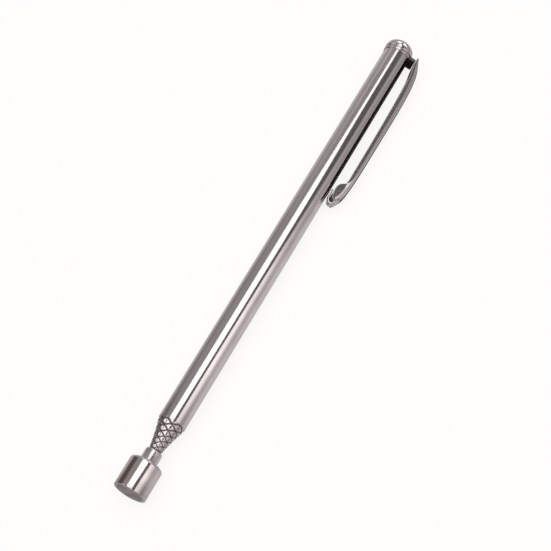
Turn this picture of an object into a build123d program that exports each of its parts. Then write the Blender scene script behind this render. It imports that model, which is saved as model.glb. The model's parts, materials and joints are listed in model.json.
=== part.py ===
from build123d import *
import os
from math import cos, pi, radians, sin

# Telescoping magnetic pickup tool with a pocket clip, collapsed and lying along X.
# The origin is the centre of the magnet's working face, +X points to the domed cap,
# and +Z is up from the bench that the tool lies on. All sizes are in millimetres.

# ---------------------------------------------------------------- driving sizes
# magnet head
head_diameter = 8.0
head_length = 7.2
head_edge_round = 0.18
shoulder_rise = 1.0
neck_diameter = 4.1
neck_length = 3.0
neck_edge_round = 0.5
cup_wall = 0.75
magnet_length = 4.6
magnet_proud = 0.1
rod_socket_depth = 4.2

# handle
barrel_diameter = 6.7
barrel_wall = 0.35
barrel_length = 112.4
barrel_edge = 0.12
nose_length = 7.3
nose_tip_wall = 0.32
nose_hollow = 0.12
nose_shank_length = 8.0
cap_overhang = 0.3
cap_groove_width = 0.15
cap_groove_depth = 0.25
cap_side_height = 1.25
cap_side_round = 0.3
cap_dome_height = 1.8
cap_shank_length = 3.0

# knurl on the nose
knurl_per_row = 5
knurl_depth = 0.3
knurl_taper = 32.0
knurl_root = 0.35
knurl_row_base = 0.42
knurl_row_growth = 0.13
knurl_turn = -0.5

# telescoping sections, largest first, with the solid rod last
section_count = 4
first_section_diameter = 2.4
section_wall = 0.12
section_gap = 0.13
base_tube_wall = 0.17
lip_length = 0.6
bush_collar_length = 0.9
bush_waist_length = 2.6
bush_waist_depth = 0.1
bush_spigot_length = 2.0
rod_tenon_diameter = 0.5
spring_split_width = 0.5
rear_holder_length = 4.0

# pocket clip, with heights measured out from the barrel's surface
clip_angle = 14.5
clip_width = 4.4
clip_sheet = 0.45
clip_length = 46.8
clip_gap = 2.6
clip_depth = 1.75
clip_edge_round = 0.9
collar_thickness = 0.8
collar_overhang = 0.25
tab_overhang = 1.45
top_overhang = 0.7
cheek_overlap = 0.88
foot_height = 1.75
foot_round = 2.05
foot_length = 3.4
tongue_round = 1.5
tongue_width = 2.4

# clearances
running_gap = 0.03
spring_gap = 0.015
stop_gap = 0.1
flex_gap = 0.1
foot_gap = 0.12

# ---------------------------------------------------------------- stations along X
head_radius = head_diameter / 2
neck_radius = neck_diameter / 2
shoulder_x = head_length
neck_front_x = shoulder_x + shoulder_rise
neck_rear_x = neck_front_x + neck_length
nose_tip_x = neck_rear_x + stop_gap
barrel_front_x = nose_tip_x + nose_length
barrel_rear_x = barrel_front_x + barrel_length
collar_rear_x = barrel_rear_x + collar_thickness
cap_dome_x = collar_rear_x + cap_groove_width + cap_side_height
cap_top_x = cap_dome_x + cap_dome_height
cap_shank_x = barrel_rear_x - cap_shank_length
nose_shank_x = barrel_front_x + nose_shank_length

barrel_radius = barrel_diameter / 2
barrel_bore = barrel_radius - barrel_wall
nose_bore = first_section_diameter / 2 + running_gap
nose_tip_radius = nose_bore + nose_tip_wall
nose_base_radius = barrel_radius
cap_radius = barrel_radius + cap_overhang

# Section k is a tube, and the last one is a rod. Each slides in the one before it.
section_step = section_wall + section_gap
section_radius = [first_section_diameter / 2 - k * section_step for k in range(section_count)]
section_bore = [radius - section_wall for radius in section_radius]
base_bore = section_radius[0] + section_gap
base_radius = base_bore + base_tube_wall
guide_bore = [base_bore] + section_bore[:-1]

# The sections' front ends stand level, just behind the head's neck. Each bush ends
# just in front of the spigot of the bush before it.
bush_length = 2 * bush_collar_length + bush_waist_length
section_front_x = nose_tip_x + stop_gap
base_front_x = nose_tip_x + nose_length / 2
base_rear_x = cap_shank_x - stop_gap
bush_pitch = bush_length + bush_spigot_length + stop_gap
bush_rear_x = [base_rear_x - stop_gap - k * bush_pitch for k in range(section_count)]
bush_front_x = [rear - bush_length for rear in bush_rear_x]

# The clip stands out from the barrel a little below level, so that its edge
# and the head rest on the bench together.
clip_out = Vector(0, -cos(radians(clip_angle)), -sin(radians(clip_angle)))
clip_side = Vector(0, -sin(radians(clip_angle)), cos(radians(clip_angle)))
clip_plane = Plane(origin=(0, 0, 0), x_dir=(1, 0, 0), z_dir=-clip_side)

os.makedirs("parts", exist_ok=True)


def save(piece, name):
    """Label a finished piece and write its STEP file."""
    piece.part.label = name
    export_step(piece.part, f"parts/{name}.step")


def section_name(k, kind):
    return f"section_{k + 1}_{kind}"


# ---------------------------------------------------------------- magnet head
# Steel cup with a domed shoulder and a round neck, open at its working face.
with BuildPart() as magnet_cup:
    with BuildSketch(Plane.XZ):
        with BuildLine():
            Polyline(
                (magnet_proud, 0),
                (magnet_proud, head_radius),
                (shoulder_x, head_radius),
            )
            ThreePointArc(
                (shoulder_x, head_radius),
                (shoulder_x + 0.72 * shoulder_rise, head_radius - 0.42 * (head_radius - neck_radius)),
                (neck_front_x, neck_radius),
            )
            Polyline(
                (neck_front_x, neck_radius),
                (neck_rear_x, neck_radius),
                (neck_rear_x, 0),
                (magnet_proud, 0),
            )
        make_face()
    revolve(axis=Axis.X)
    working_edge = magnet_cup.edges().filter_by(GeomType.CIRCLE).sort_by(Axis.X)[0]
    neck_edge = magnet_cup.edges().filter_by(GeomType.CIRCLE).sort_by(Axis.X)[-1]
    fillet(working_edge, head_edge_round)
    fillet(neck_edge, neck_edge_round)
    with BuildSketch(Plane.YZ.offset(magnet_proud)):
        Circle(head_radius - cup_wall)
    extrude(amount=magnet_length - magnet_proud, mode=Mode.SUBTRACT)
    with BuildSketch(Plane.YZ.offset(neck_rear_x)):
        Circle(section_radius[-1])
    extrude(amount=-rod_socket_depth, mode=Mode.SUBTRACT)
save(magnet_cup, "magnet_cup")

# Disc magnet pressed into the cup, standing slightly proud of the rim.
with BuildPart() as magnet:
    with BuildSketch(Plane.YZ):
        Circle(head_radius - cup_wall)
    extrude(amount=magnet_length)
    chamfer(magnet.edges().sort_by(Axis.X)[0], magnet_proud / 2)
save(magnet, "magnet")

# ---------------------------------------------------------------- handle
# Thin polished tube that forms the handle.
with BuildPart() as barrel_tube:
    with BuildSketch(Plane.YZ.offset(barrel_front_x)):
        Circle(barrel_radius)
    extrude(amount=barrel_length)
    chamfer(barrel_tube.edges().filter_by(GeomType.CIRCLE), barrel_edge)
    with BuildSketch(Plane.YZ.offset(barrel_front_x)):
        Circle(barrel_bore)
    extrude(amount=barrel_length, mode=Mode.SUBTRACT)
save(barrel_tube, "barrel_tube")


def nose_outer(x):
    """Radius of the knurl's crests at a station on the nose, which is slightly hollow along its length."""
    share = (x - nose_tip_x) / nose_length
    straight = nose_tip_radius + share * (nose_base_radius - nose_tip_radius)
    return straight - 4 * nose_hollow * share * (1 - share)


def knurl_height(x):
    """Height of the knurl at a station, less where the nose is thin."""
    return knurl_depth * nose_outer(x) / nose_base_radius


# Hollow-sided nose with a shank pressed into the barrel, rows of raised points, and a bore
# that guides the first section and holds the fixed tube.
with BuildPart() as nose_cone:
    with BuildSketch(Plane.XZ):
        with BuildLine():
            nose_middle_x = (nose_tip_x + barrel_front_x) / 2
            nose_root = [
                (x, nose_outer(x) - knurl_height(x)) for x in (nose_tip_x, nose_middle_x, barrel_front_x)
            ]
            Line((nose_tip_x, 0), nose_root[0])
            ThreePointArc(*nose_root)
            Polyline(
                nose_root[-1],
                (barrel_front_x, barrel_bore),
                (nose_shank_x, barrel_bore),
                (nose_shank_x, 0),
                (nose_tip_x, 0),
            )
        make_face()
    revolve(axis=Axis.X)
    row_x = barrel_front_x
    row = 0
    while row_x > nose_tip_x + knurl_row_base:
        row_step = knurl_row_base + knurl_row_growth * nose_outer(row_x)
        centre_x = row_x - row_step
        crest = nose_outer(centre_x)
        root = crest - knurl_height(centre_x) - knurl_root
        if centre_x - row_step > nose_tip_x - running_gap:
            planes = []
            for point in range(knurl_per_row):
                angle = 2 * pi * (point + 0.5 * (row % 2)) / knurl_per_row + radians(knurl_turn)
                outward = Vector(0, cos(angle), sin(angle))
                origin = Vector(centre_x, 0, 0) + outward * root
                planes.append(Plane(origin=origin, x_dir=(1, 0, 0), z_dir=outward))
            half_width = pi * crest / knurl_per_row
            with BuildSketch(*planes):
                Polygon((-row_step, 0), (0, -half_width), (row_step, 0), (0, half_width), align=None)
            extrude(amount=crest - root, taper=knurl_taper)
        row_x = centre_x
        row += 1
    with BuildSketch(Plane.YZ.offset(nose_tip_x)):
        Circle(nose_bore)
    extrude(amount=base_front_x - nose_tip_x, mode=Mode.SUBTRACT)
    with BuildSketch(Plane.YZ.offset(base_front_x)):
        Circle(base_radius)
    extrude(amount=nose_shank_x - base_front_x, mode=Mode.SUBTRACT)
save(nose_cone, "nose_cone")

# Fixed tube that guides the first section, held by the nose and the rear holder.
with BuildPart() as base_tube:
    with BuildSketch(Plane.YZ.offset(base_front_x)):
        Circle(base_radius)
        Circle(base_bore, mode=Mode.SUBTRACT)
    extrude(amount=base_rear_x - base_front_x)
save(base_tube, "base_tube")

# Ring that centres the base tube's rear end in the barrel.
with BuildPart() as rear_holder:
    with BuildSketch(Plane.YZ.offset(base_rear_x)):
        Circle(barrel_bore)
        Circle(base_radius, mode=Mode.SUBTRACT)
    extrude(amount=-rear_holder_length)
save(rear_holder, "rear_holder")

# Domed cap over a narrow groove, whose shank is pressed into the barrel through the clip's collar.
with BuildPart() as end_cap:
    with BuildSketch(Plane.XZ):
        with BuildLine():
            cap_side_x = collar_rear_x + cap_groove_width
            Polyline(
                (cap_shank_x, 0),
                (cap_shank_x, barrel_bore),
                (collar_rear_x, barrel_bore),
                (collar_rear_x, cap_radius - cap_groove_depth),
                (cap_side_x, cap_radius - cap_groove_depth),
                (cap_side_x, cap_radius - cap_side_round),
            )
            ThreePointArc(
                (cap_side_x, cap_radius - cap_side_round),
                (cap_side_x + 0.29 * cap_side_round, cap_radius - 0.29 * cap_side_round),
                (cap_side_x + cap_side_round, cap_radius),
            )
            Line((cap_side_x + cap_side_round, cap_radius), (cap_dome_x, cap_radius))
            EllipticalCenterArc((cap_dome_x, 0), cap_dome_height, cap_radius, start_angle=0, arc_size=90)
            Line((cap_top_x, 0), (cap_shank_x, 0))
        make_face()
    revolve(axis=Axis.X)
save(end_cap, "end_cap")

# ---------------------------------------------------------------- telescoping sections
# Thin tubes with the front end rolled in to a lip that stops the next bush.
for k in range(section_count - 1):
    lip_radius = section_radius[k + 1] + running_gap
    with BuildPart() as section_tube:
        with BuildSketch(Plane.XZ):
            with BuildLine():
                Polyline(
                    (section_front_x, lip_radius),
                    (section_front_x, section_radius[k]),
                    (bush_front_x[k], section_radius[k]),
                    (bush_front_x[k], section_bore[k]),
                    (section_front_x + lip_length, section_bore[k]),
                    (section_front_x + lip_length, lip_radius),
                    close=True,
                )
            make_face()
        revolve(axis=Axis.X)
    save(section_tube, section_name(k, "tube"))

# Solid rod that carries the magnet head, with a thin tenon at its rear end.
with BuildPart() as section_rod:
    rod_front_x = neck_rear_x - rod_socket_depth
    with BuildSketch(Plane.YZ.offset(rod_front_x)):
        Circle(section_radius[-1])
    extrude(amount=bush_front_x[-1] - rod_front_x)
    with BuildSketch(Plane.YZ.offset(bush_front_x[-1])):
        Circle(rod_tenon_diameter / 2)
    extrude(amount=bush_spigot_length)
save(section_rod, section_name(section_count - 1, "rod"))

# Brass bush at each section's rear end: two collars guide it, and its waist holds the spring.
for k in range(section_count):
    collar_radius = guide_bore[k] - running_gap
    waist_radius = collar_radius - bush_waist_depth
    waist_front_x = bush_front_x[k] + bush_collar_length
    waist_rear_x = waist_front_x + bush_waist_length
    with BuildPart() as bush:
        with BuildSketch(Plane.XZ):
            with BuildLine():
                Polyline(
                    (bush_front_x[k], 0),
                    (bush_front_x[k], collar_radius),
                    (waist_front_x, collar_radius),
                    (waist_front_x, waist_radius),
                    (waist_rear_x, waist_radius),
                    (waist_rear_x, collar_radius),
                    (bush_rear_x[k], collar_radius),
                    (bush_rear_x[k], 0),
                    close=True,
                )
            make_face()
        revolve(axis=Axis.X)
        if k < section_count - 1:
            with BuildSketch(Plane.YZ.offset(bush_front_x[k])):
                Circle(section_bore[k])
            extrude(amount=-bush_spigot_length)
        else:
            with BuildSketch(Plane.YZ.offset(bush_front_x[k])):
                Circle(rod_tenon_diameter / 2)
            extrude(amount=bush_spigot_length, mode=Mode.SUBTRACT)
    save(bush, section_name(k, "bush"))

# Split bronze sleeve in each bush's waist, which drags on the tube around it.
for k in range(section_count):
    sleeve_bore = guide_bore[k] - running_gap - bush_waist_depth + spring_gap
    sleeve_radius = guide_bore[k] - running_gap
    sleeve_front_x = bush_front_x[k] + bush_collar_length + spring_gap
    with BuildPart() as friction_spring:
        with BuildSketch(Plane.YZ.offset(sleeve_front_x)):
            Circle(sleeve_radius)
            Circle(sleeve_bore, mode=Mode.SUBTRACT)
            with Locations((0, guide_bore[k])):
                Rectangle(spring_split_width, 2 * guide_bore[k], mode=Mode.SUBTRACT)
        extrude(amount=bush_waist_length - 2 * spring_gap)
    save(friction_spring, section_name(k, "spring"))

# ---------------------------------------------------------------- pocket clip
# Places on the clip are given as (x, reach), where reach is the distance out from the tool's axis.
tab_reach = barrel_radius + tab_overhang
collar_radius = barrel_radius + collar_overhang

# Flat collar clamped between the barrel and the cap, with a tab that carries the arm.
with BuildPart() as clip_collar:
    with BuildSketch(Plane.YZ.offset(barrel_rear_x)):
        Circle(collar_radius)
    extrude(amount=collar_thickness)
    with BuildSketch(clip_plane):
        with Locations(((barrel_rear_x + collar_rear_x) / 2, tab_reach / 2)):
            Rectangle(collar_thickness, tab_reach)
    extrude(amount=clip_width / 2, both=True)
    with BuildSketch(Plane.YZ.offset(barrel_rear_x)):
        Circle(barrel_bore)
    extrude(amount=collar_thickness, mode=Mode.SUBTRACT)
save(clip_collar, "clip_collar")

# Channel-shaped spring arm. Its back runs from the tab to the foot, where a tongue
# curls in until it almost touches the barrel.
edge_reach = barrel_radius + clip_gap
back_reach = edge_reach + clip_depth
arm_top_x = collar_rear_x + top_overhang
arm_top_reach = tab_reach + flex_gap
foot_low_x = arm_top_x - clip_length
foot_reach = barrel_radius + foot_gap
cheek_reach = barrel_radius + cheek_overlap
cheek_end_reach = barrel_radius + foot_height
back_points = [
    (arm_top_x, arm_top_reach + 0.6),
    (arm_top_x - 3.0, back_reach - 1.15),
    (arm_top_x - 8.0, back_reach - 0.4),
    (arm_top_x - 16.6, back_reach),
    (foot_low_x + 10.0, back_reach),
    (foot_low_x, back_reach - 0.35),
]
back_radii = [5.0, 20.0, 60.0, 60.0, foot_round]
cheek_end = (foot_low_x, cheek_end_reach)
cheek_low = (foot_low_x + 1.1, cheek_end_reach)
cheek_wide = (foot_low_x + 4.1, cheek_reach)
cheek_narrow = (foot_low_x + 7.8, edge_reach)
edge_points = [
    cheek_narrow,
    (arm_top_x - 9.0, edge_reach - 0.1),
    (arm_top_x - 5.5, edge_reach - 0.5),
    (arm_top_x - 2.0, arm_top_reach),
]


def is_back_edge(edge, half_width):
    """True for the long edges between the back and a cheek, at this distance from the middle."""
    off_middle = abs(edge.center().dot(clip_side))
    return abs(off_middle - half_width) < clip_sheet / 9 and edge.center().dot(clip_out) > edge_reach


with BuildPart() as clip_arm:
    with BuildSketch(clip_plane):
        with BuildLine():
            FilletPolyline(*back_points, cheek_end, radius=back_radii)
            Line(cheek_end, cheek_low)
            ThreePointArc(cheek_low, cheek_wide, cheek_narrow)
            FilletPolyline(*edge_points, radius=[20.0, 6.0])
            Polyline(edge_points[-1], (arm_top_x, arm_top_reach), back_points[0])
        make_face()
    extrude(amount=clip_width / 2, both=True)
    fillet(clip_arm.edges().filter_by(lambda edge: is_back_edge(edge, clip_width / 2)), clip_edge_round)
    with BuildSketch(clip_plane):
        with BuildLine():
            FilletPolyline((arm_top_x, 0), *back_points, (foot_low_x, 0), radius=[0.5, *back_radii])
            Line((foot_low_x, 0), (arm_top_x, 0))
        make_face()
        offset(amount=-clip_sheet)
    extrude(amount=clip_width / 2 - clip_sheet, both=True, mode=Mode.SUBTRACT)
    with BuildSketch(clip_plane):
        with BuildLine():
            FilletPolyline(
                (foot_low_x, cheek_end_reach),
                (foot_low_x, foot_reach),
                (foot_low_x + foot_length, foot_reach),
                radius=tongue_round,
            )
            Line((foot_low_x + foot_length, foot_reach), (foot_low_x + foot_length, foot_reach + clip_sheet))
            FilletPolyline(
                (foot_low_x + foot_length, foot_reach + clip_sheet),
                (foot_low_x + clip_sheet, foot_reach + clip_sheet),
                (foot_low_x + clip_sheet, cheek_end_reach),
                radius=tongue_round - clip_sheet,
            )
            Line((foot_low_x + clip_sheet, cheek_end_reach), (foot_low_x, cheek_end_reach))
        make_face()
    extrude(amount=tongue_width / 2, both=True)
save(clip_arm, "clip_arm")
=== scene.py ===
import bpy
import json
from math import atan2, ceil, cos, floor, hypot, pi, radians, sin
from mathutils import Matrix, Vector


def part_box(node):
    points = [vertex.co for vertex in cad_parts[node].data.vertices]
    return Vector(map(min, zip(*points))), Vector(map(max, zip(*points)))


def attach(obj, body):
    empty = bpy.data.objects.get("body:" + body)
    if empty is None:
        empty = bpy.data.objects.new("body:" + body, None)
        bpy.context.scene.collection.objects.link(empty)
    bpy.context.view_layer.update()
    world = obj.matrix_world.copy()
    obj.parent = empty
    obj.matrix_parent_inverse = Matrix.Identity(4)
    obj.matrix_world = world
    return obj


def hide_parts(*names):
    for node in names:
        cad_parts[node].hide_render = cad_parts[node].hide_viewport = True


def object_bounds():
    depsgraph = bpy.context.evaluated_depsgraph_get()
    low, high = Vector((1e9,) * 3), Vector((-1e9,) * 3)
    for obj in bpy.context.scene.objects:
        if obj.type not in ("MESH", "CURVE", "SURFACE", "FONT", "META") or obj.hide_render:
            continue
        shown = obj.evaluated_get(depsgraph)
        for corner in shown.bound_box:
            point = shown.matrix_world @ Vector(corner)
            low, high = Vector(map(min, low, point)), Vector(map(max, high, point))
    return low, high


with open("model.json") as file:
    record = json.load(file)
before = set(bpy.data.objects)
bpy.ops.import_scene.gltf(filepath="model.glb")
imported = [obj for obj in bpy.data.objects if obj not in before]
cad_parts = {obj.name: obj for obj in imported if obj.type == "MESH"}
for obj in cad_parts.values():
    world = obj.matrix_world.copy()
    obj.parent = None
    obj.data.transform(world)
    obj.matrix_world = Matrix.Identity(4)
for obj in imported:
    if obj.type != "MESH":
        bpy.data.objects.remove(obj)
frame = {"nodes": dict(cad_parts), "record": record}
cad_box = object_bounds()
MM = 0.001

# ---------------------------------------------------------------- frame of the tool
# The axis is X. The clip stands out along clip_out, and clip_side is square to both, on top.
# Shapes are given in millimetres, and become metres where a mesh is made.
clip_mount = next(m for m in frame["record"]["mounts"] if m["name"] == "pocket_clip_gap")
clip_out = Vector((0, clip_mount["pos_m"][1], clip_mount["pos_m"][2])).normalized()
along = Vector((1, 0, 0))
clip_side = clip_out.cross(along).normalized()
if clip_side.z < 0:
    clip_side = -clip_side
floor_z = cad_box[0].z


def span(node):
    """A node's two ends along the axis, in millimetres."""
    low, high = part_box(node)
    return low[0] / MM, high[0] / MM


def radius_of(node):
    """Outer radius of a round node on the axis, in millimetres."""
    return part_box(node)[1][2] / MM


# ---------------------------------------------------------------- camera
CAMERA_AIM_X = 62.67 * MM
CAMERA_AIM_OUT = 2.68 * MM
CAMERA_DISTANCE = 376.6 * MM
CAMERA_TILT = radians(22.9)
CAMERA_ROLL = radians(31.245)
CAMERA_FOCAL_RATIO = 1600 / 551
SENSOR = 36.0


def make_camera():
    back = clip_side * cos(CAMERA_TILT) - along * sin(CAMERA_TILT)
    axis_up = along * cos(CAMERA_TILT) + clip_side * sin(CAMERA_TILT)
    up = axis_up * cos(CAMERA_ROLL) - clip_out * sin(CAMERA_ROLL)
    right = axis_up * sin(CAMERA_ROLL) + clip_out * cos(CAMERA_ROLL)
    aim = along * CAMERA_AIM_X + clip_out * CAMERA_AIM_OUT
    data = bpy.data.cameras.new("camera")
    data.sensor_width = SENSOR
    data.lens = SENSOR * CAMERA_FOCAL_RATIO
    data.clip_start = 0.01
    camera = bpy.data.objects.new("camera", data)
    bpy.context.collection.objects.link(camera)
    camera.matrix_world = Matrix.Translation(aim + back * CAMERA_DISTANCE) @ Matrix(
        (right, up, back)
    ).transposed().to_4x4()
    bpy.context.scene.camera = camera


make_camera()


# ---------------------------------------------------------------- studio
def add_object(name, mesh):
    piece = bpy.data.objects.new(name, mesh)
    bpy.context.collection.objects.link(piece)
    return piece


def emission_material(name, attribute=None, colour=(1, 1, 1), strength=1.0):
    """Light of one tone, or of the tones that a mesh attribute holds."""
    material = bpy.data.materials.new(name)
    material.use_nodes = True
    tree = material.node_tree
    tree.nodes.clear()
    emit = tree.nodes.new("ShaderNodeEmission")
    emit.inputs["Color"].default_value = (*colour, 1)
    emit.inputs["Strength"].default_value = strength
    if attribute:
        tone = tree.nodes.new("ShaderNodeAttribute")
        tone.attribute_name = attribute
        tree.links.new(tone.outputs["Color"], emit.inputs["Color"])
    out = tree.nodes.new("ShaderNodeOutputMaterial")
    tree.links.new(emit.outputs[0], out.inputs["Surface"])
    return material


STUDIO_RADIUS = 2.5
STUDIO_STEP = 4.0
studio_centre = Vector((CAMERA_AIM_X, 0, 0))
CARD_LOW, CARD_HIGH = -60, 70
DOME_TILT_START, DOME_TILT_END = 47, 84
WINDOW_REACH = (-34, 0)
WINDOW_RADIUS = STUDIO_RADIUS * 0.98
WARM = (1.0, 0.93, 0.925)
WHITE = (1.0, 1.0, 1.0)


def studio_direction(around, tilt):
    """Direction at an angle round the tool, from its top towards the clip, tilted towards +X."""
    a, t = radians(around), radians(tilt)
    return (clip_side * cos(a) + clip_out * sin(a)) * cos(t) + along * sin(t)


def band(tilt, left, right, level):
    """A card's row of one brightness between two angles round the tool."""
    return tilt, [(left, level), (right, level)]


def card(name, reach, rows, tint, radius=STUDIO_RADIUS):
    """A curved light card. Each row is (tilt, [(angle round the tool, brightness), ...]).

    reach is the card's lowest and highest tilt. The first and last rows are carried on to them."""
    if rows[0][0] > reach[0]:
        rows = [(reach[0], rows[0][1]), *rows]
    if rows[-1][0] < reach[1]:
        rows = [*rows, (reach[1], rows[-1][1])]
    verts, tones, faces = [], [], []
    columns = len(rows[0][1])
    fine_rows = []
    for (tilt_a, row_a), (tilt_b, row_b) in zip(rows, rows[1:]):
        steps = max(1, ceil((tilt_b - tilt_a) / STUDIO_STEP))
        for i in range(steps):
            u = i / steps
            fine_rows.append(
                (
                    tilt_a + u * (tilt_b - tilt_a),
                    [(p + u * (q - p), f + u * (g - f)) for (p, f), (q, g) in zip(row_a, row_b)],
                )
            )
    fine_rows.append(rows[-1])
    widest = max(abs(row[c + 1][0] - row[c][0]) for _, row in rows for c in range(columns - 1))
    splits = max(1, ceil(widest / STUDIO_STEP))
    for tilt, row in fine_rows:
        for (p, f), (q, g) in zip(row, row[1:]):
            for i in range(splits):
                u = i / splits
                verts.append(studio_centre + studio_direction(p + u * (q - p), tilt) * radius)
                tones.append(f + u * (g - f))
        verts.append(studio_centre + studio_direction(row[-1][0], tilt) * radius)
        tones.append(row[-1][1])
    across = (columns - 1) * splits + 1
    for r in range(len(fine_rows) - 1):
        for c in range(across - 1):
            k = r * across + c
            faces.append((k, k + 1, k + across + 1, k + across))
    mesh = bpy.data.meshes.new(name)
    mesh.from_pydata(verts, [], faces)
    layer = mesh.color_attributes.new("tone", "FLOAT_COLOR", "POINT")
    for point, tone in zip(layer.data, tones):
        point.color = (*(tone * c for c in tint), 1.0)
    mesh.materials.append(emission_material(name, attribute="tone"))
    piece = add_object(name, mesh)
    piece.visible_camera = False
    piece.visible_diffuse = False
    piece.visible_shadow = False


def make_studio():
    # These cards aren't a plain studio, and they record no real one. Their levels and edges were tuned
    # against grey levels measured on a photograph of the tool, so they suit that one view.
    # The long key softbox over the tool. It narrows along the barrel and widens again on the cap's dome.
    key = 1.8
    card(
        "key_card",
        (CARD_LOW, DOME_TILT_END),
        [
            band(9, -38, -1, key),
            band(13, -37, 2, key),
            band(22, -37, 4, key),
            band(27, -36, 4, key),
            band(30, -32, 1, key),
            band(32, -29, -3, key),
            band(35, -26, -7, key),
            band(43, -25, -8, key),
            band(DOME_TILT_START, -64, -26, key),
        ],
        WHITE,
    )
    # The dark gap between the key and the fill.
    gap, dome_gap = 0.14, 0.28
    card(
        "gap_card",
        (CARD_LOW, DOME_TILT_END),
        [
            band(9, -1, 18, gap),
            band(13, 2, 18, gap),
            band(22, 4, 24, gap),
            band(27, 4, 33, gap),
            band(30, 1, 35, gap),
            band(32, -3, 37, gap),
            band(35, -7, 37, gap),
            band(43, -8, 37, gap),
            band(DOME_TILT_START, -26, 0, dome_gap),
        ],
        WARM,
    )
    # The weaker fill softbox on the clip's side.
    card(
        "fill_card",
        (CARD_LOW, DOME_TILT_END),
        [
            (9, [(18, 1.2), (35, 1.2), (50, 0.72), (64, 0.38)]),
            (13, [(18, 1.35), (35, 1.65), (50, 1.1), (64, 0.62)]),
            (20, [(23, 1.3), (35, 1.45), (50, 1.0), (64, 0.58)]),
            (24, [(28, 0.7), (38, 0.8), (50, 0.7), (62, 0.5)]),
            (28, [(34, 0.42), (43, 0.54), (53, 0.57), (64, 0.45)]),
            (32, [(37, 0.3), (46, 0.46), (55, 0.52), (66, 0.42)]),
            (43, [(37, 0.3), (46, 0.46), (55, 0.52), (66, 0.42)]),
            (DOME_TILT_START, [(0, 1.8), (36, 1.6), (48, 0.5), (66, 0.42)]),
        ],
        WARM,
    )
    # Shaded wall on the far side, darkest low down and towards the head.
    card(
        "wall_card",
        (CARD_LOW, CARD_HIGH),
        [
            (9, [(-150, 0.7), (-120, 0.33), (-100, 0.115), (-80, 0.14), (-62, 0.4)]),
            (12.5, [(-150, 0.8), (-120, 0.42), (-100, 0.26), (-80, 0.36), (-62, 0.4)]),
            (24, [(-150, 0.8), (-120, 0.5), (-100, 0.29), (-80, 0.36), (-62, 0.36)]),
            (30, [(-150, 0.8), (-120, 0.56), (-100, 0.38), (-80, 0.46), (-62, 0.44)]),
            (36, [(-150, 0.8), (-120, 0.56), (-100, 0.4), (-80, 0.54), (-62, 0.57)]),
        ],
        WARM,
    )
    # Light from the pale floor and wall on the clip's side.
    card(
        "floor_card",
        (CARD_LOW, CARD_HIGH),
        [
            (9, [(64, 0.38), (80, 0.39), (100, 0.65), (130, 0.64), (160, 0.6), (210, 0.3)]),
            (13, [(64, 0.62), (80, 0.64), (100, 0.78), (130, 0.72), (160, 0.6), (210, 0.42)]),
            (24, [(62, 0.56), (80, 0.56), (100, 0.75), (130, 0.74), (160, 0.6), (210, 0.42)]),
            (32, [(66, 0.42), (80, 0.38), (100, 0.6), (130, 0.62), (160, 0.6), (210, 0.45)]),
        ],
        WARM,
    )
    # A low window on the far side, which only the tapered nose faces.
    card("window_card", WINDOW_REACH, [band(WINDOW_REACH[0], -88, -52, 1.7)], WHITE, radius=WINDOW_RADIUS)
    world = bpy.data.worlds.new("studio")
    world.use_nodes = True
    background = world.node_tree.nodes["Background"]
    background.inputs["Color"].default_value = (0.36, 0.335, 0.333, 1)
    background.inputs["Strength"].default_value = 1.0
    bpy.context.scene.world = world
    sun = bpy.data.lights.new("soft_sun", "SUN")
    sun.energy = 2.6
    sun.angle = radians(70)
    lamp = bpy.data.objects.new("soft_sun", sun)
    bpy.context.collection.objects.link(lamp)
    lamp.visible_glossy = False


FLOOR_SIZE = 3.0
FLOOR_GLOW = 0.88
FLOOR_TONE = (0.985, 0.98, 0.975)
BACKDROP_RADIUS = 4.0


def make_floor():
    s = FLOOR_SIZE
    mesh = bpy.data.meshes.new("floor")
    corners = [(-s, -s, floor_z), (s, -s, floor_z), (s, s, floor_z), (-s, s, floor_z)]
    mesh.from_pydata(corners, [], [(0, 1, 2, 3)])
    material = bpy.data.materials.new("floor")
    material.use_nodes = True
    shader = material.node_tree.nodes["Principled BSDF"]
    shader.inputs["Base Color"].default_value = (0.11, 0.109, 0.108, 1)
    shader.inputs["Roughness"].default_value = 0.9
    shader.inputs["Specular IOR Level"].default_value = 0.0
    shader.inputs["Emission Color"].default_value = (*FLOOR_TONE, 1)
    shader.inputs["Emission Strength"].default_value = FLOOR_GLOW
    mesh.materials.append(material)
    ground = add_object("floor", mesh)
    ground.visible_glossy = False
    # A pale wall behind everything, which only the camera sees.
    rings, turns = 24, 48
    verts = [
        Vector((cos(2 * pi * j / turns) * sin(pi * i / rings), sin(2 * pi * j / turns) * sin(pi * i / rings),
                cos(pi * i / rings))) * BACKDROP_RADIUS
        for i in range(rings + 1)
        for j in range(turns)
    ]
    faces = [
        (i * turns + j, i * turns + (j + 1) % turns, (i + 1) * turns + (j + 1) % turns, (i + 1) * turns + j)
        for i in range(rings)
        for j in range(turns)
    ]
    mesh = bpy.data.meshes.new("backdrop")
    mesh.from_pydata(verts, [], faces)
    mesh.materials.append(emission_material("backdrop", colour=FLOOR_TONE))
    backdrop = add_object("backdrop", mesh)
    backdrop.visible_diffuse = False
    backdrop.visible_glossy = False
    backdrop.visible_shadow = False


def near_card(name, corners, colour):
    """A flat card close to the tool, which only reflections see."""
    mesh = bpy.data.meshes.new(name)
    mesh.from_pydata(corners, [], [(0, 1, 2, 3)])
    mesh.materials.append(emission_material(name, colour=colour))
    piece = add_object(name, mesh)
    piece.visible_camera = False
    piece.visible_diffuse = False
    piece.visible_shadow = False


SHADE_START, SHADE_END = 2.5 * MM, 3 * MM
SHADE_NEAR_Y, SHADE_FAR_Y = 2 * MM, -11 * MM
SHADE_LIFT = 0.05 * MM
FLAG_REACH = 60 * MM
FLAG_FRONT, FLAG_REAR = -20 * MM, 27 * MM


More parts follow.
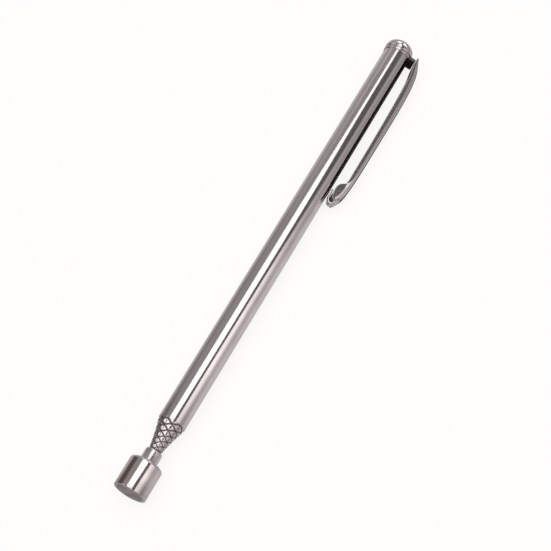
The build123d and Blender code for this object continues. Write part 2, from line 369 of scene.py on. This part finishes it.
def make_near_cards():
    # Dark strip just above the floor under the clip, there only to darken the barrel's reflection.
    low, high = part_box("clip_arm")
    front, rear = low[0] + SHADE_START, high[0] + SHADE_END
    near, far = SHADE_NEAR_Y, SHADE_FAR_Y
    z = floor_z + SHADE_LIFT
    near_card(
        "shade_card",
        [(front, far, z), (rear, far, z), (rear, near, z), (front, near, z)],
        (0.055, 0.045, 0.042),
    )
    # Dark flag beside the head.
    bottom, top = studio_direction(-108, 0) * FLAG_REACH, studio_direction(-72, 0) * FLAG_REACH
    front, rear = along * FLAG_FRONT, along * FLAG_REAR
    near_card(
        "flag_card",
        [bottom + front, bottom + rear, top + rear, top + front],
        (0.13, 0.105, 0.1),
    )


make_studio()
make_floor()
make_near_cards()
bpy.context.scene.view_settings.view_transform = "Standard"


# ---------------------------------------------------------------- materials
class Nodes:
    """Short calls for building a material's node tree."""

    def __init__(self, name):
        self.material = bpy.data.materials.new(name)
        self.material.use_nodes = True
        self.tree = self.material.node_tree
        self.shader = self.tree.nodes["Principled BSDF"]
        self.place = self.add("ShaderNodeTexCoord").outputs["Object"]

    def add(self, kind, **values):
        node = self.tree.nodes.new(kind)
        for key, value in values.items():
            setattr(node, key, value)
        return node

    def link(self, source, target):
        self.tree.links.new(source, target)

    def noise(self, scale, detail=3.0, roughness=0.55, stretch=(1, 1, 1), turn=(0, 0, 0)):
        mapping = self.add("ShaderNodeMapping")
        mapping.inputs["Scale"].default_value = stretch
        mapping.inputs["Rotation"].default_value = turn
        self.link(self.place, mapping.inputs["Vector"])
        texture = self.add("ShaderNodeTexNoise")
        texture.inputs["Scale"].default_value = scale
        texture.inputs["Detail"].default_value = detail
        texture.inputs["Roughness"].default_value = roughness
        self.link(mapping.outputs[0], texture.inputs["Vector"])
        return texture.outputs["Fac"]

    def ramp(self, source, low, high, out_low=0.0, out_high=1.0):
        node = self.add("ShaderNodeMapRange")
        node.inputs["From Min"].default_value = low
        node.inputs["From Max"].default_value = high
        node.inputs["To Min"].default_value = out_low
        node.inputs["To Max"].default_value = out_high
        self.link(source, node.inputs["Value"])
        return node.outputs["Result"]

    def maths(self, operation, a, b):
        node = self.add("ShaderNodeMath", operation=operation)
        for socket, value in zip(node.inputs, (a, b)):
            if isinstance(value, (int, float)):
                socket.default_value = value
            else:
                self.link(value, socket)
        return node.outputs[0]

    def mix(self, factor, a, b):
        node = self.add("ShaderNodeMix", data_type="RGBA")
        self.link(factor, node.inputs["Factor"])
        for socket, value in zip((node.inputs[6], node.inputs[7]), (a, b)):
            if isinstance(value, tuple):
                socket.default_value = (*value, 1)
            else:
                self.link(value, socket)
        return node.outputs[2]

    def axial(self):
        """Station along the tool's axis, in metres."""
        split = self.add("ShaderNodeSeparateXYZ")
        self.link(self.place, split.inputs[0])
        return split.outputs["X"]


def metal(name, colour, roughness, grain=0.12, lines=0.5, smudge=0.35, scratches=0.5, wear=None,
          wear_colour=(0.42, 0.40, 0.38), line_stretch=(0.03, 1, 1), dull=None, groove_shade_colour=None):
    """Plated or bright metal: drawing lines, fine grain, hairline scratches, smudges and worn places.

    wear is (station of full wear, station where it ends), in millimetres along the axis. dull is
    (station where a duller part starts, station where it is full, added roughness). The groove colour
    is painted shade, laid in the hollows that the mesh's groove attribute marks."""
    n = Nodes(name)
    smear = n.noise(260, detail=4, roughness=0.6, stretch=(0.6, 1, 1))
    drawn = n.noise(6500, detail=2, stretch=line_stretch)
    fine = n.noise(16000, detail=2)
    hair_a = n.noise(1500, detail=1, stretch=(0.05, 1, 1), turn=(0.3, 0.05, 0.35))
    hair_b = n.noise(1900, detail=1, stretch=(1, 0.06, 1), turn=(0.9, 0.2, -0.5))
    scratch = n.maths("MAXIMUM", n.ramp(hair_a, 0.70, 0.74), n.ramp(hair_b, 0.71, 0.745))
    smear_fac = n.ramp(smear, 0.38, 0.66)
    dark = tuple(c * (1 - 0.16 * smudge) for c in colour)
    light = tuple(min(1.0, c * 1.03) for c in colour)
    tone = n.mix(smear_fac, light, dark)
    rough = n.maths("MULTIPLY", n.ramp(smear, 0.32, 0.7, 1 - 0.5 * smudge, 1 + 1.1 * smudge), roughness)
    rough = n.maths("ADD", rough, n.maths("MULTIPLY", drawn, 0.05 * lines))
    rough = n.maths("ADD", rough, n.maths("MULTIPLY", scratch, 0.16 * scratches))
    if wear:
        near = n.ramp(n.axial(), wear[1] * MM, wear[0] * MM)
        patch = n.maths("MULTIPLY", near, n.ramp(n.noise(1400, detail=5, roughness=0.65), 0.42, 0.6))
        tone = n.mix(patch, tone, wear_colour)
        rough = n.maths("ADD", rough, n.maths("MULTIPLY", patch, 0.14))
    if dull:
        rough = n.maths("ADD", rough, n.ramp(n.axial(), dull[0] * MM, dull[1] * MM, 0.0, dull[2]))
    # The groove colour is painted shade, darker where a point lies deeper in the knurl's hollows.
    if groove_shade_colour:
        mark = n.add("ShaderNodeAttribute")
        mark.attribute_name = "groove"
        hollow = n.ramp(mark.outputs["Fac"], 0.2, 0.75)
        tone = n.mix(hollow, tone, groove_shade_colour)
        rough = n.maths("ADD", rough, n.maths("MULTIPLY", hollow, 0.25))
    height = n.maths("ADD", n.maths("MULTIPLY", drawn, lines), n.maths("MULTIPLY", fine, grain * 2))
    height = n.maths("SUBTRACT", height, n.maths("MULTIPLY", scratch, scratches))
    bump = n.add("ShaderNodeBump")
    bump.inputs["Strength"].default_value = 0.25
    bump.inputs["Distance"].default_value = 0.0000035
    n.link(height, bump.inputs["Height"])
    n.link(bump.outputs[0], n.shader.inputs["Normal"])
    n.link(tone, n.shader.inputs["Base Color"])
    n.link(rough, n.shader.inputs["Roughness"])
    n.shader.inputs["Metallic"].default_value = 1.0
    return n.material


CHROME = (0.64, 0.61, 0.61)
barrel_chrome = metal("barrel_chrome", CHROME, 0.1, lines=0.25)
# The nose's knurl hollows take the groove colour: painted shade in the grooves.
knurl_chrome = metal("knurl_chrome", (0.60, 0.565, 0.56), 0.13, smudge=0.6, lines=0.2, scratches=0.25,
                     groove_shade_colour=(0.12, 0.10, 0.098))
cap_chrome = metal("cap_chrome", CHROME, 0.09, lines=0.2, wear=(137, 134.6))
head_chrome = metal("head_chrome", (0.62, 0.585, 0.58), 0.095, smudge=0.5, wear=(-0.5, 1.6), lines=0.25,
                    dull=(8.0, 8.4, 0.1))
clip_plate = metal("clip_plate", (0.60, 0.57, 0.57), 0.13, lines=0.8, smudge=0.45)
# Dark metal for the inside of the clip's channel and for the collar tab: painted shade there.
clip_inside_shade = metal("clip_inside_shade", (0.13, 0.108, 0.1), 0.34, lines=0.8, grain=0.5, smudge=0.6)
tube_steel = metal("tube_steel", (0.66, 0.645, 0.635), 0.10, lines=0.9, scratches=0.9)
turned_brass = metal("turned_brass", (0.72, 0.52, 0.25), 0.17, lines=0.7, smudge=0.6,
                     line_stretch=(1, 0.03, 0.03))
spring_bronze = metal("spring_bronze", (0.62, 0.40, 0.23), 0.2, lines=0.6, smudge=0.7)
magnet_nickel = metal("magnet_nickel", (0.40, 0.37, 0.36), 0.3, grain=0.6, lines=0.1, smudge=0.8,
                      scratches=1.0, wear=(-1.0, 0.9), wear_colour=(0.33, 0.31, 0.30))


# ---------------------------------------------------------------- mesh helpers
SEGMENTS = 144
CORNER_STEPS = 6
SHARP_ANGLE = radians(34)


def finish_mesh(name, verts, faces, materials, face_materials=None):
    mesh = bpy.data.meshes.new(name)
    mesh.from_pydata([Vector(v) * MM for v in verts], [], faces)
    for material in materials:
        mesh.materials.append(material)
    if face_materials:
        mesh.polygons.foreach_set("material_index", face_materials)
    mesh.validate()
    mesh.shade_smooth()
    mesh.set_sharp_from_angle(angle=SHARP_ANGLE)
    return add_object(name, mesh)


def rounded(points):
    """A line through (x, r, corner radius) points, with each corner rounded."""
    line = []
    count = len(points)
    for i, (x, r, corner) in enumerate(points):
        if corner <= 0:
            line.append((x, r))
            continue
        px, pr = points[i - 1][:2]
        nx, nr = points[(i + 1) % count][:2]
        a = Vector((px - x, pr - r)).normalized()
        b = Vector((nx - x, nr - r)).normalized()
        half = a.angle(b) / 2
        reach = corner / max(1e-6, abs(cos(half) / sin(half)) ** -1)
        start, end = Vector((x, r)) + a * reach, Vector((x, r)) + b * reach
        middle = Vector((x, r)) + (a + b).normalized() * (corner / sin(half))
        first = atan2(start.y - middle.y, start.x - middle.x)
        sweep = atan2(end.y - middle.y, end.x - middle.x) - first
        sweep = (sweep + pi) % (2 * pi) - pi
        for k in range(CORNER_STEPS + 1):
            angle = first + sweep * k / CORNER_STEPS
            line.append((middle.x + corner * cos(angle), middle.y + corner * sin(angle)))
    return line


def lathe(name, outline, materials, pick=None, segments=SEGMENTS):
    """A solid turned round the X axis from a closed outline, listed with the metal on its left.

    A point is (x, r), or (x, function of the angle from clip_side towards clip_out)."""
    verts, rings = [], []
    for x, r in outline:
        if not callable(r) and r < 1e-5:
            rings.append([len(verts)])
            verts.append(Vector((x, 0, 0)))
            continue
        rings.append(list(range(len(verts), len(verts) + segments)))
        for j in range(segments):
            angle = 2 * pi * j / segments
            radius = r(angle) if callable(r) else r
            verts.append(along * x + (clip_side * cos(angle) + clip_out * sin(angle)) * radius)
    faces, picks = [], []
    for i, ring in enumerate(rings):
        after = rings[(i + 1) % len(rings)]
        if len(ring) == 1 and len(after) == 1:
            continue
        for j in range(segments):
            k = (j + 1) % segments
            if len(ring) == 1:
                face = (ring[0], after[k], after[j])
            elif len(after) == 1:
                face = (ring[j], ring[k], after[0])
            else:
                face = (ring[j], ring[k], after[k], after[j])
            faces.append(face)
            picks.append(pick(i) if pick else 0)
    return finish_mesh(name, verts, faces, materials, picks)


def stand_for(piece, node, body):
    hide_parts(node)
    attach(piece, body)


# ---------------------------------------------------------------- handle
BARREL_WALL = 0.35
barrel_front, barrel_rear = span("barrel_tube")
barrel_radius = radius_of("barrel_tube")
barrel_bore = barrel_radius - BARREL_WALL
barrel = lathe(
    "barrel_skin",
    rounded(
        [
            (barrel_front, barrel_bore, 0.05),
            (barrel_front, barrel_radius, 0.14),
            (barrel_rear, barrel_radius, 0.09),
            (barrel_rear, barrel_bore, 0.05),
        ]
    )[::-1],
    [barrel_chrome],
)
stand_for(barrel, "barrel_tube", "handle")

# Nose with staggered rounded points between crossed grooves.
KNURL_PER_ROW = 5
KNURL_TURN = -0.5
KNURL_DEPTH = 0.26
KNURL_FLATNESS = 4.5
ROW_BASE, ROW_GROWTH = 0.42, 0.13
NOSE_TIP_WALL = 0.32
NOSE_HOLLOW = 0.12
NOSE_BORE_GAP = 0.03
nose_tip, nose_shank = span("nose_cone")
tube_radius = radius_of("section_1_tube")
nose_bore = tube_radius + NOSE_BORE_GAP
nose_tip_radius = nose_bore + NOSE_TIP_WALL
guide_radius = radius_of("base_tube")
guide_front, guide_rear = span("base_tube")
clip_side_angle = atan2(clip_side.z, clip_side.y)


def nose_outer(x):
    share = (x - nose_tip) / (barrel_front - nose_tip)
    straight = nose_tip_radius + share * (barrel_radius - nose_tip_radius)
    return straight - 4 * NOSE_HOLLOW * share * (1 - share)


row_centres = [barrel_front]
while row_centres[-1] > nose_tip - 2:
    row_centres.append(row_centres[-1] - ROW_BASE - ROW_GROWTH * nose_outer(max(row_centres[-1], nose_tip)))


def row_at(x):
    """Row number at a station: 0 at the first row behind the barrel's front edge, counted towards the tip."""
    for k, (a, b) in enumerate(zip(row_centres, row_centres[1:])):
        if x >= b:
            return k - 1 + (a - x) / (a - b)
    return len(row_centres) - 1


def knurl_radius(x):
    """Radius round the nose at a station, as a function of the angle."""
    outer = nose_outer(x)
    depth = KNURL_DEPTH * outer / barrel_radius
    row = row_at(x)

    def radius(angle):
        column = 2 * KNURL_PER_ROW * (angle + clip_side_angle - radians(KNURL_TURN)) / (2 * pi)
        p, q = (column + row) / 2, (column - row) / 2
        dp, dq = abs(p - floor(p + 0.5)) * 2, abs(q - floor(q + 0.5)) * 2
        return outer - depth * (1 - (1 - dp**KNURL_FLATNESS) * (1 - dq**KNURL_FLATNESS))

    return radius


NOSE_STEP = 0.075
NOSE_LEAD = 0.1
TIP_FACE_DROP, TIP_EDGE_DROP, TIP_EDGE_RISE = 0.24, 0.19, 0.03
nose_run = barrel_front - nose_tip - NOSE_LEAD
nose_steps = ceil(nose_run / NOSE_STEP)
nose_stations = [nose_tip + NOSE_LEAD + nose_run * k / nose_steps for k in range(nose_steps + 1)]
nose_outline = [
    (nose_tip, nose_bore),
    (nose_tip, nose_tip_radius - TIP_FACE_DROP),
    (nose_tip + TIP_EDGE_RISE, nose_tip_radius - TIP_EDGE_DROP),
]
nose_outline += [(x, knurl_radius(x)) for x in nose_stations]
nose_outline += [
    (barrel_front, barrel_bore),
    (nose_shank, barrel_bore),
    (nose_shank, guide_radius),
    (guide_front, guide_radius),
    (guide_front, nose_bore),
]
nose = lathe("nose_knurl", nose_outline[::-1], [knurl_chrome], segments=216)
# The groove attribute holds how deep each point lies below the crest, and this places the painted shade.
hollows = nose.data.attributes.new("groove", "FLOAT", "POINT")
for point, vertex in zip(hollows.data, nose.data.vertices):
    x, radius = vertex.co.x / MM, hypot(vertex.co.y, vertex.co.z) / MM
    crest = nose_outer(x)
    point.value = min(1.0, max(0.0, (crest - radius) * barrel_radius / (KNURL_DEPTH * crest)))
stand_for(nose, "nose_cone", "handle")

# Fixed inner tube that guides the first section.
GUIDE_WALL = 0.17
guide = lathe(
    "guide_tube",
    [
        (guide_rear, guide_radius - GUIDE_WALL),
        (guide_rear, guide_radius),
        (guide_front, guide_radius),
        (guide_front, guide_radius - GUIDE_WALL),
    ],
    [tube_steel],
    segments=96,
)
stand_for(guide, "base_tube", "handle")

# Cap with a groove, a rounded lower edge and a full dome.
CAP_GROOVE_WIDTH, CAP_GROOVE_DEPTH = 0.15, 0.25
CAP_EDGE_ROUND = 0.2
DOME_FULLNESS = 2.45
DOME_STEPS = 40
cap_shank, cap_top = span("end_cap")
cap_radius = radius_of("end_cap")
collar_front, collar_rear = span("clip_collar")
cap_side = collar_rear + CAP_GROOVE_WIDTH
cap_dome = cap_side + CAP_EDGE_ROUND
cap_outline = rounded(
    [
        (cap_shank, 0, 0),
        (cap_shank, barrel_bore, 0.1),
        (collar_rear, barrel_bore, 0),
        (collar_rear, cap_radius - CAP_GROOVE_DEPTH, 0),
        (cap_side, cap_radius - CAP_GROOVE_DEPTH, 0.02),
        (cap_side, cap_radius, CAP_EDGE_ROUND - 0.01),
        (cap_dome, cap_radius, 0),
    ]
)
for k in range(1, DOME_STEPS + 1):
    angle = pi / 2 * k / DOME_STEPS
    rise, spread = sin(angle) ** (2 / DOME_FULLNESS), max(0.0, cos(angle)) ** (2 / DOME_FULLNESS)
    cap_outline.append((cap_dome + (cap_top - cap_dome) * rise, cap_radius * spread))
cap_outline[-1] = (cap_top, 0)
cap = lathe("cap_dome", cap_outline[::-1], [cap_chrome])
stand_for(cap, "end_cap", "handle")


# ---------------------------------------------------------------- pocket clip
def spline(points, spacing):
    """Points along a smooth curve through the given ones, about evenly spaced."""
    pts = [Vector(p) for p in points]
    ends = [pts[0] * 2 - pts[1], *pts, pts[-1] * 2 - pts[-2]]
    line = []
    for i in range(1, len(ends) - 2):
        p0, p1, p2, p3 = ends[i - 1 : i + 3]
        t1 = (p1 - p0).length ** 0.5
        t2 = t1 + (p2 - p1).length ** 0.5
        t3 = t2 + (p3 - p2).length ** 0.5
        steps = max(1, round((p2 - p1).length / spacing))
        for k in range(steps):
            t = t1 + (t2 - t1) * k / steps
            a1 = p0 * ((t1 - t) / t1) + p1 * (t / t1)
            a2 = p1 * ((t2 - t) / (t2 - t1)) + p2 * ((t - t1) / (t2 - t1))
            a3 = p2 * ((t3 - t) / (t3 - t2)) + p3 * ((t - t2) / (t3 - t2))
            b1 = a1 * ((t2 - t) / t2) + a2 * (t / t2)
            b2 = a2 * ((t3 - t) / (t3 - t1)) + a3 * ((t - t1) / (t3 - t1))
            line.append(b1 * ((t2 - t) / (t2 - t1)) + b2 * ((t - t1) / (t2 - t1)))
    line.append(pts[-1])
    return line


def resample(line, count):
    """The same line with a set number of points, evenly spaced."""
    lengths = [0.0]
    for a, b in zip(line, line[1:]):
        lengths.append(lengths[-1] + (b - a).length)
    out, i = [], 0
    for k in range(count):
        want = lengths[-1] * k / (count - 1)
        while i < len(line) - 2 and lengths[i + 1] < want:
            i += 1
        u = (want - lengths[i]) / (lengths[i + 1] - lengths[i])
        out.append(line[i].lerp(line[i + 1], min(1.0, max(0.0, u))))
    return out


def in_clip(x, out, side):
    return along * x + clip_out * out + clip_side * side


def loft(name, sections, materials, picks):
    """A solid from closed sections of equal count, with flat ends. picks gives each strip's material."""
    count = len(sections[0])
    verts = [v for section in sections for v in section]
    faces, face_picks = [], []
    for i in range(len(sections) - 1):
        for j in range(count):
            k = (j + 1) % count
            faces.append((i * count + j, (i + 1) * count + j, (i + 1) * count + k, i * count + k))
            face_picks.append(picks[j])
    # Each end is closed strip by strip, because the section is a bent band.
    last = (len(sections) - 1) * count
    for j in range(count // 2 - 1):
        a, b, c, d = j, j + 1, count - 2 - j, count - 1 - j
        faces.append((a, b, c, d))
        faces.append((last + d, last + c, last + b, last + a))
        face_picks += [picks[j], picks[j]]
    return finish_mesh(name, verts, faces, materials, face_picks)


CLIP_WIDTH, CLIP_SHEET = 4.4, 0.45
CLIP_CORNER = 1.5
CLIP_FLARE = sin(radians(5))
RIM_ROUND = 0.1
top = span("clip_arm")[1]
half_width = CLIP_WIDTH / 2
surface = barrel_radius
# The back's outer face and the cheek's edge as (x, distance out from the axis), from the top to the foot.
back_line = [
    (top, surface + 2.0),
    (top - 1.7, surface + 2.8),
    (top - 3.2, surface + 3.4),
    (top - 4.6, surface + 3.78),
    (top - 7.9, surface + 4.2),
    (top - 12.3, surface + 4.4),
    (top - 16.5, surface + 4.45),
    (top - 25.0, surface + 4.4),
    (top - 33.3, surface + 4.32),
    (top - 37.4, surface + 4.24),
    (top - 40.2, surface + 4.08),
    (top - 42.9, surface + 3.83),
    (top - 44.8, surface + 3.4),
    (top - 45.85, surface + 2.85),
    (top - 46.4, surface + 2.25),
]
edge_line = [
    (top, surface + 1.55),
    (top - 2.60, surface + 1.75),
    (top - 5.40, surface + 2.15),
    (top - 10.60, surface + 2.38),
    (top - 17.20, surface + 2.52),
    (top - 27.00, surface + 2.6),
    (top - 34.20, surface + 2.6),
    (top - 39.40, surface + 2.57),
    (top - 40.45, surface + 2.3),
    (top - 41.00, surface + 1.75),
    (top - 41.70, surface + 1.05),
    (top - 42.90, surface + 0.72),
    (top - 44.20, surface + 0.82),
    (top - 45.30, surface + 1.15),
    (top - 46.15, surface + 1.8),
]
# Stations where the two lines are paired, as point numbers in each.
back_parts = [(0, 9), (9, 11), (11, 14)]
edge_parts = [(0, 7), (7, 11), (11, 14)]
part_steps = [70, 26, 30]


def clip_pairs():
    backs, edges = [], []
    for (b0, b1), (e0, e1), steps in zip(back_parts, edge_parts, part_steps):
        back = resample(spline_between(back_line, b0, b1), steps)
        edge = resample(spline_between(edge_line, e0, e1), steps)
        if backs:
            back, edge = back[1:], edge[1:]
        backs += back
        edges += edge
    return list(zip(backs, edges))


def spline_between(points, first, last):
    """Part of the smooth curve through all the points, from one numbered point to another."""
    whole = spline(points, 0.12)
    start, end = [
        min(range(len(whole)), key=lambda i: (whole[i] - Vector(points[n])).length)
        for n in (first, last)
    ]
    return whole[start : end + 1]


def channel_section(back, edge):
    """One closed section through the bent sheet, from the near cheek's edge round the back to the far one."""
    inward = edge - back
    depth = inward.length
    inward.normalize()
    corner = min(CLIP_CORNER, 0.82 * depth)
    inner_corner = max(0.05, corner - CLIP_SHEET)

    def face(half, start, radius):
        """Half of one face as (side, depth), from the cheek's end to the back's middle."""
        flat_end, flat_start = depth - RIM_ROUND, start + radius
        points = [(half, flat_end)]
        points += [(half, flat_start + (flat_end - flat_start) * u) for u in (0.94, 0.5, 0.06)]
        points += [
            (half - radius + radius * cos(a), start + radius - radius * sin(a))
            for a in (pi / 2 * k / 8 for k in range(9))
        ]
        points += [((half - radius) * u, start) for u in (0.6, 0.2)]
        return points

    outer = face(half_width, 0.0, corner)
    inner = face(half_width - CLIP_SHEET, CLIP_SHEET, inner_corner)
    rim = [
        (half_width - RIM_ROUND * (1 - cos(a)), depth - RIM_ROUND * (1 - sin(a)))
        for a in (pi / 2 * k / 4 for k in (1, 2, 3, 4))
    ]
    inner_rim = [(2 * half_width - CLIP_SHEET - s, d) for s, d in rim]
    outside = rim[::-1] + outer
    inside = inner_rim[::-1] + inner
    outside += [(-s, d) for s, d in outside[::-1]]
    inside += [(-s, d) for s, d in inside[::-1]]
    loop = outside + inside[::-1]
    flared = [(s - CLIP_FLARE * (depth - d) * s / half_width, d) for s, d in loop]
    return [in_clip(*(back + inward * d), s) for s, d in flared], len(outside)


pairs = clip_pairs()
sections = [channel_section(back, edge) for back, edge in pairs]
outside_count = sections[0][1]
loop_count = len(sections[0][0])
# Strips inside the channel take the dark clip metal, which is painted shade; the outer faces and rims stay
# plated.
rim_strips = 4
strip_picks = [0 if j < outside_count + rim_strips or j >= loop_count - rim_strips - 1 else 1
               for j in range(loop_count)]
clip = loft("clip_spring", [s for s, _ in sections], [clip_plate, clip_inside_shade], strip_picks)
stand_for(clip, "clip_arm", "clip")

# Tongue that curls in from the foot, until it almost touches the barrel.
TONGUE_WIDTH = 2.3
TONGUE_END_WIDTH = 1.9
tongue_line = [
    (top - 45.2, surface + 3.02),
    (top - 45.95, surface + 2.55),
    (top - 46.6, surface + 1.95),
    (top - 46.78, surface + 1.4),
    (top - 46.55, surface + 0.87),
    (top - 45.9, surface + 0.46),
    (top - 44.9, surface + 0.22),
    (top - 43.6, surface + 0.15),
    (top - 42.9, surface + 0.2),
]


def tongue_section(point, ahead, width):
    """One closed section of the tongue. The line is its outer face, and the sheet lies inside the curl."""
    inward = Vector((-ahead.y, ahead.x))
    half, thick, r = width / 2, CLIP_SHEET * 0.9, 0.12
    quarter = [(half - r + r * cos(a), r - r * sin(a)) for a in (pi / 2 * k / 4 for k in range(5))]
    outside = quarter + [(-s, d) for s, d in quarter[::-1]]
    inside = [(s, thick - d) for s, d in outside]
    loop = outside + inside[::-1]
    return [in_clip(*(point + inward * (d - thick)), s) for s, d in loop]


TONGUE_STEPS = 64
tongue_path = resample(spline(tongue_line, 0.1), TONGUE_STEPS)
tongue_sections = []
for i, point in enumerate(tongue_path):
    ahead = (tongue_path[min(i + 1, TONGUE_STEPS - 1)] - tongue_path[max(i - 1, 0)]).normalized()
    share = i / (TONGUE_STEPS - 1)
    width = TONGUE_WIDTH + (TONGUE_END_WIDTH - TONGUE_WIDTH) * share
    width *= 1 - 0.5 * max(0.0, (share - 0.9) / 0.1) ** 2
    tongue_sections.append(tongue_section(point, -ahead, width))
tongue = loft("clip_tongue", tongue_sections, [clip_plate], [0] * len(tongue_sections[0]))
tongue.parent = clip

# Collar under the cap, and the tab that carries the arm.
TAB_OVERHANG, COLLAR_OVERHANG = 1.45, 0.25
TAB_REACH = surface + TAB_OVERHANG
ring = lathe(
    "collar_ring",
    rounded(
        [
            (collar_front, barrel_bore, 0),
            (collar_front, surface + COLLAR_OVERHANG, 0.2),
            (collar_rear, surface + COLLAR_OVERHANG, 0.2),
            (collar_rear, barrel_bore, 0),
        ]
    )[::-1],
    [clip_plate],
)
stand_for(ring, "clip_collar", "handle")


def tab_section(out):
    h, r = half_width - 0.02, 0.12
    mid = (collar_front + collar_rear) / 2
    t = (collar_rear - collar_front) / 2
    corners = []
    for sx, ss, first in ((1, 1, 0), (-1, 1, 1), (-1, -1, 2), (1, -1, 3)):
        for k in range(5):
            a = pi / 2 * (first + k / 4)
            corners.append(in_clip(mid + sx * (t - r) + r * cos(a), out, ss * (h - r) + r * sin(a)))
    return corners


tab_outs = [barrel_bore + 0.2, TAB_REACH - 0.1, TAB_REACH]
tab_sections = [tab_section(out) for out in tab_outs]
centre = sum(tab_sections[-1], Vector()) / len(tab_sections[-1])
tab_sections[-1] = [centre.lerp(v, 0.94) for v in tab_sections[-1]]
count = len(tab_sections[0])
tab_faces = [
    (i * count + j, i * count + (j + 1) % count, (i + 1) * count + (j + 1) % count, (i + 1) * count + j)
    for i in range(len(tab_sections) - 1)
    for j in range(count)
]
tab_faces += [tuple(range(count))[::-1], tuple(range(2 * count, 3 * count))]
# The whole tab takes the dark clip metal: painted shade under the tab.
tab = finish_mesh("collar_tab", [v for s in tab_sections for v in s], tab_faces, [clip_inside_shade])
tab.parent = ring

# ---------------------------------------------------------------- magnet head
CUP_WALL = 0.75
NECK_RADIUS, NECK_ROUND = 2.05, 0.5
HEAD_LENGTH, SHOULDER_RISE = 7.2, 1.0
cup_front, cup_rear = span("magnet_cup")
magnet_front, magnet_rear = span("magnet")
head_radius = radius_of("magnet_cup")
rod_radius = radius_of("section_4_rod")
rod_front, rod_rear = span("section_4_rod")
SHOULDER_STEPS = 14
neck_front = HEAD_LENGTH + SHOULDER_RISE
shoulder = [
    (
        HEAD_LENGTH + SHOULDER_RISE * sin(pi / 2 * k / SHOULDER_STEPS),
        head_radius - (head_radius - NECK_RADIUS) * (1 - cos(pi / 2 * k / SHOULDER_STEPS)),
    )
    for k in range(1, SHOULDER_STEPS)
]
cup_outline = rounded(
    [
        (magnet_rear, 0, 0),
        (magnet_rear, head_radius - CUP_WALL, 0),
        (cup_front, head_radius - CUP_WALL, 0.04),
        (cup_front, head_radius, 0.18),
        (HEAD_LENGTH, head_radius, 0),
    ]
)
cup_outline += shoulder
cup_outline += rounded(
    [
        (neck_front, NECK_RADIUS + 0.02, 0),
        (neck_front + 0.05, NECK_RADIUS, 0),
        (cup_rear, NECK_RADIUS, NECK_ROUND),
        (cup_rear, rod_radius, 0.03),
        (rod_front, rod_radius, 0),
        (rod_front, 0, 0),
    ]
)
cup = lathe("head_cup", cup_outline[::-1], [head_chrome])
stand_for(cup, "magnet_cup", "head")
disc = lathe(
    "magnet_disc",
    rounded(
        [
            (magnet_front, 0, 0),
            (magnet_front, head_radius - CUP_WALL, 0.07),
            (magnet_rear, head_radius - CUP_WALL, 0),
            (magnet_rear, 0, 0),
        ]
    )[::-1],
    [magnet_nickel],
)
stand_for(disc, "magnet", "head")

# ---------------------------------------------------------------- telescoping sections
SECTION_WALL = 0.12
SECTION_GAP = 0.13
LIP_LENGTH, LIP_GAP = 0.6, 0.03
for k in (1, 2, 3):
    front, rear = span(f"section_{k}_tube")
    outer = radius_of(f"section_{k}_tube")
    lip = outer - SECTION_WALL - SECTION_GAP + LIP_GAP
    sleeve = lathe(
        f"section_{k}_sleeve",
        rounded(
            [
                (front, lip, 0.03),
                (front, outer, 0.07),
                (rear, outer, 0),
                (rear, outer - SECTION_WALL, 0),
                (front + LIP_LENGTH, outer - SECTION_WALL, 0),
                (front + LIP_LENGTH, lip, 0),
            ]
        )[::-1],
        [tube_steel],
        segments=96,
    )
    stand_for(sleeve, f"section_{k}_tube", f"section_{k}")
bush_4_front = span("section_4_bush")[0]
TENON_RADIUS = 0.25
rod = lathe(
    "section_4_core",
    rounded(
        [
            (rod_front, 0, 0),
            (rod_front, rod_radius, 0),
            (bush_4_front, rod_radius, 0),
            (bush_4_front, TENON_RADIUS, 0),
            (rod_rear, TENON_RADIUS, 0),
            (rod_rear, 0, 0),
        ]
    )[::-1],
    [tube_steel],
    segments=72,
)
stand_for(rod, "section_4_rod", "head")

# ---------------------------------------------------------------- pieces carried over from the CAD
for node, piece in frame["nodes"].items():
    material = turned_brass
    if node.endswith("_spring"):
        material = spring_bronze
    elif not (node.endswith("_bush") or node == "rear_holder"):
        material = tube_steel
    for slot in piece.material_slots:
        slot.material = material
